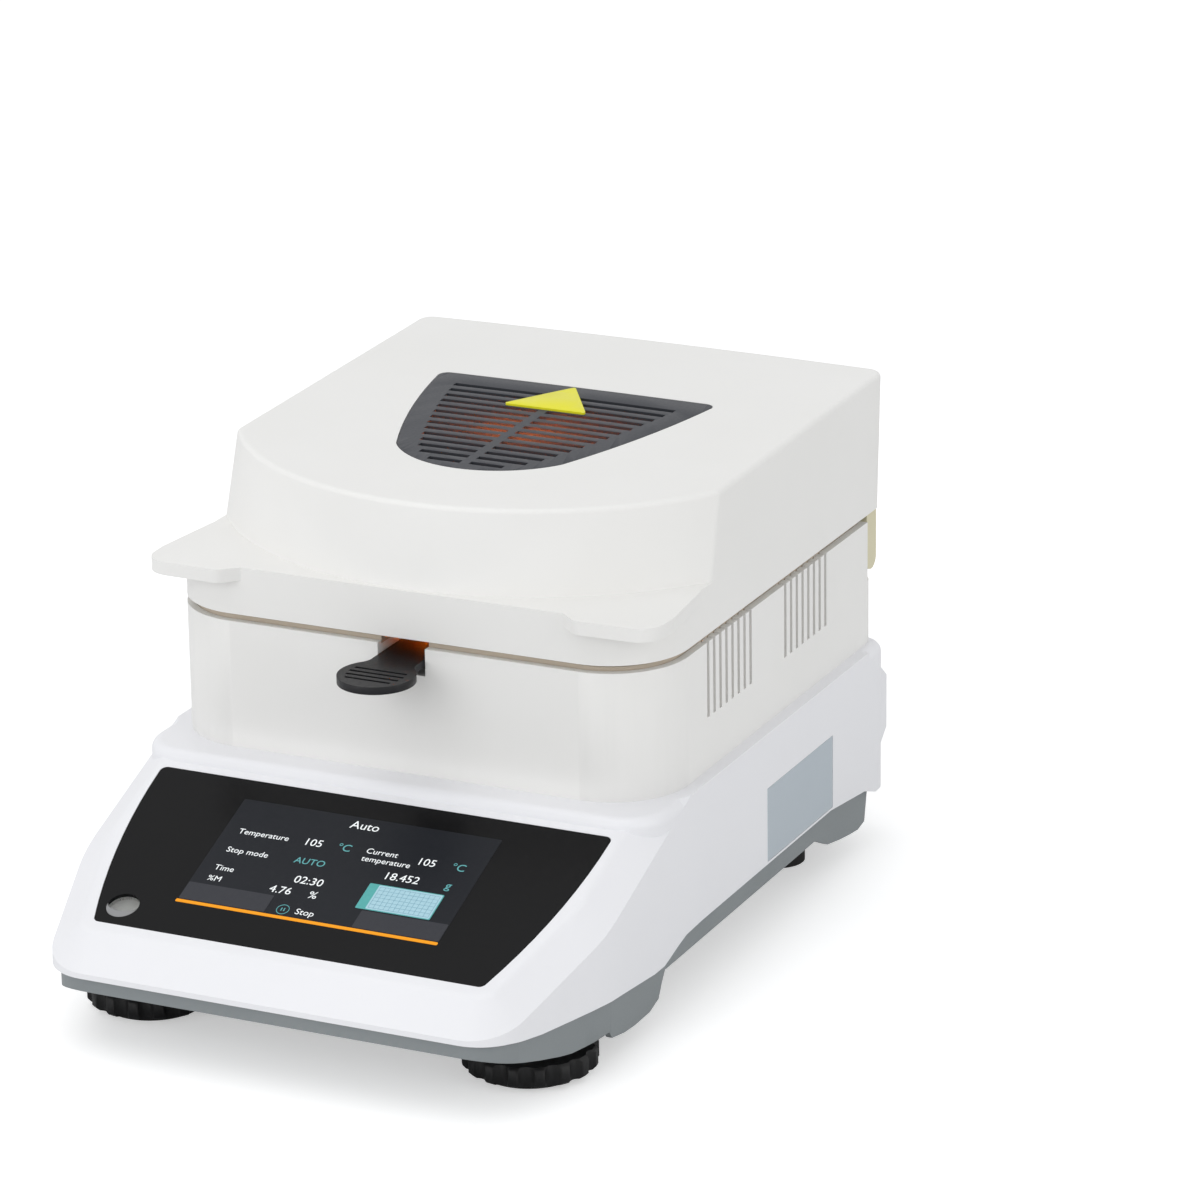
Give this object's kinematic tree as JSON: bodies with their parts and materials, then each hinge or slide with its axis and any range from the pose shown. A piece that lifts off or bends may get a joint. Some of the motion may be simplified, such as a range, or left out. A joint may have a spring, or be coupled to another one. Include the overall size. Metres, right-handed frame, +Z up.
{
  "type": "moisture analyzer",
  "caption": "Halogen moisture analyzer: a balance base with a sloping display deck, a vented sample chamber, a pan with a lifter, and a hinged heater lid with a slotted grille.",
  "frame": {"origin": "middle of the footprint, on the table under the feet", "axes": "+X to the user's right, +Y from the display towards the rear sockets, +Z up"},
  "size_m": [0.215, 0.3338, 0.19],
  "materials": {
    "white_plastic": "fine matt texture",
    "grey_plastic": "fine matt texture",
    "cream_plastic": "fine matt texture",
    "beige_coat": "matt heat-proof coat",
    "black_plastic": "fine matt texture",
    "dark_grille": "satin coat",
    "yellow_plate": "satin coat",
    "panel_film": "smooth dark window",
    "display": "display face",
    "level_white": "smooth",
    "level_glass": "clear, faintly green",
    "label": "matt foil",
    "steel": "bright",
    "aluminium": "brushed",
    "polished": "polished",
    "brass": "turned",
    "rubber": "matt",
    "lamp_glow": "glowing amber",
    "clear_glass": "clear",
    "ceramic": "unglazed ceramic",
    "board_green": "lacquered",
    "core_steel": "lacquered laminations",
    "ribbon": "flat film"
  },
  "bodies": {
    "base": {"base_tray": "grey_plastic", "top_cover": "white_plastic", "chamber_housing": "white_plastic", "heat_plate": "beige_coat", "vent_baffles": "beige_coat", "chamber_floor": "aluminium", "draft_shield": "steel", "panel_glass": "panel_film", "display_module": "display", "level_body": "level_white", "level_vial": "level_glass", "rear_plate": "grey_plastic", "inlet_housing": "black_plastic", "inlet_pins": "steel", "fuse_holder": "black_plastic", "rocker_frame": "black_plastic", "serial_socket": "steel", "usb_socket": "steel", "lan_socket": "steel", "hinge_brackets": "steel", "hinge_pins": "steel", "load_cell": "aluminium", "load_cell_foot": "aluminium", "main_board": "board_green", "power_board": "board_green", "transformer": "core_steel", "heat_sink": "aluminium", "standoffs": "brass", "display_ribbon": "ribbon", "foot_inserts": "brass", "rear_feet": "rubber", "rating_plate": "label", "lid_switch": "black_plastic", "tray_screws": "steel", "chamber_screws": "steel"},
    "lid": {"lid_cover": "white_plastic", "lid_frame": "cream_plastic", "lid_grille": "dark_grille", "triangle_plate": "yellow_plate", "lamp_glass": "clear_glass", "glass_ring": "steel", "lamp_reflector": "polished", "halogen_lamp": "lamp_glow", "lamp_holders": "ceramic", "temperature_probe": "steel", "lid_magnet": "steel", "lid_screws": "steel"},
    "lifter": {"pan_lifter": "black_plastic"},
    "pan": {"sample_pan": "aluminium"},
    "support": {"pan_support": "steel"},
    "left_pad": {"left_foot_pad": "rubber"},
    "left_wheel": {"left_foot_wheel": "black_plastic", "left_foot_stud": "steel"},
    "right_pad": {"right_foot_pad": "rubber"},
    "right_wheel": {"right_foot_wheel": "black_plastic", "right_foot_stud": "steel"},
    "rocker": {"power_rocker": "black_plastic"}
  },
  "joints": [
    {"name": "lid_hinge", "type": "hinge", "parent": "base", "child": "lid", "pos_m": [0, 0.153, 0.116], "axis": [-1, 0, 0], "range_deg": [0, 85]},
    {"name": "lifter_slide", "type": "slide", "parent": "base", "child": "lifter", "axis": [0, 0, 1], "range_m": [0, 0.006]},
    {"name": "pan_slide", "type": "slide", "parent": "base", "child": "pan", "axis": [0, 0, 1], "range_m": [0, 0.006]},
    {"name": "support_press", "type": "slide", "parent": "base", "child": "support", "axis": [0, 0, 1], "range_m": [-0.0004, 0], "stiffness_N_per_m": 2700, "springref_m": 0.0003},
    {"name": "power_switch", "type": "hinge", "parent": "base", "child": "rocker", "pos_m": [-0.01076, 0.149, 0.0535], "axis": [0, 0, -1], "range_deg": [0, 16]},
    {"name": "left_foot_height", "type": "slide", "parent": "base", "child": "left_pad", "axis": [0, 0, 1], "range_m": [-0.004, 0.003]},
    {"name": "left_foot_turn", "type": "hinge", "parent": "left_pad", "child": "left_wheel", "pos_m": [-0.078, -0.1117, 0.006], "axis": [0, 0, 1], "range_deg": [-1160, 870]},
    {"name": "right_foot_height", "type": "slide", "parent": "base", "child": "right_pad", "axis": [0, 0, 1], "range_m": [-0.004, 0.003]},
    {"name": "right_foot_turn", "type": "hinge", "parent": "right_pad", "child": "right_wheel", "pos_m": [0.078, -0.1117, 0.006], "axis": [0, 0, 1], "range_deg": [-1160, 870]}
  ],
  "couplings": [
    {"joint": "pan_slide", "follows": "lifter_slide", "ratio": 1},
    {"joint": "left_foot_turn", "follows": "left_foot_height", "rad_per_m": 5026.5},
    {"joint": "right_foot_turn", "follows": "right_foot_height", "rad_per_m": 5026.5}
  ]
}
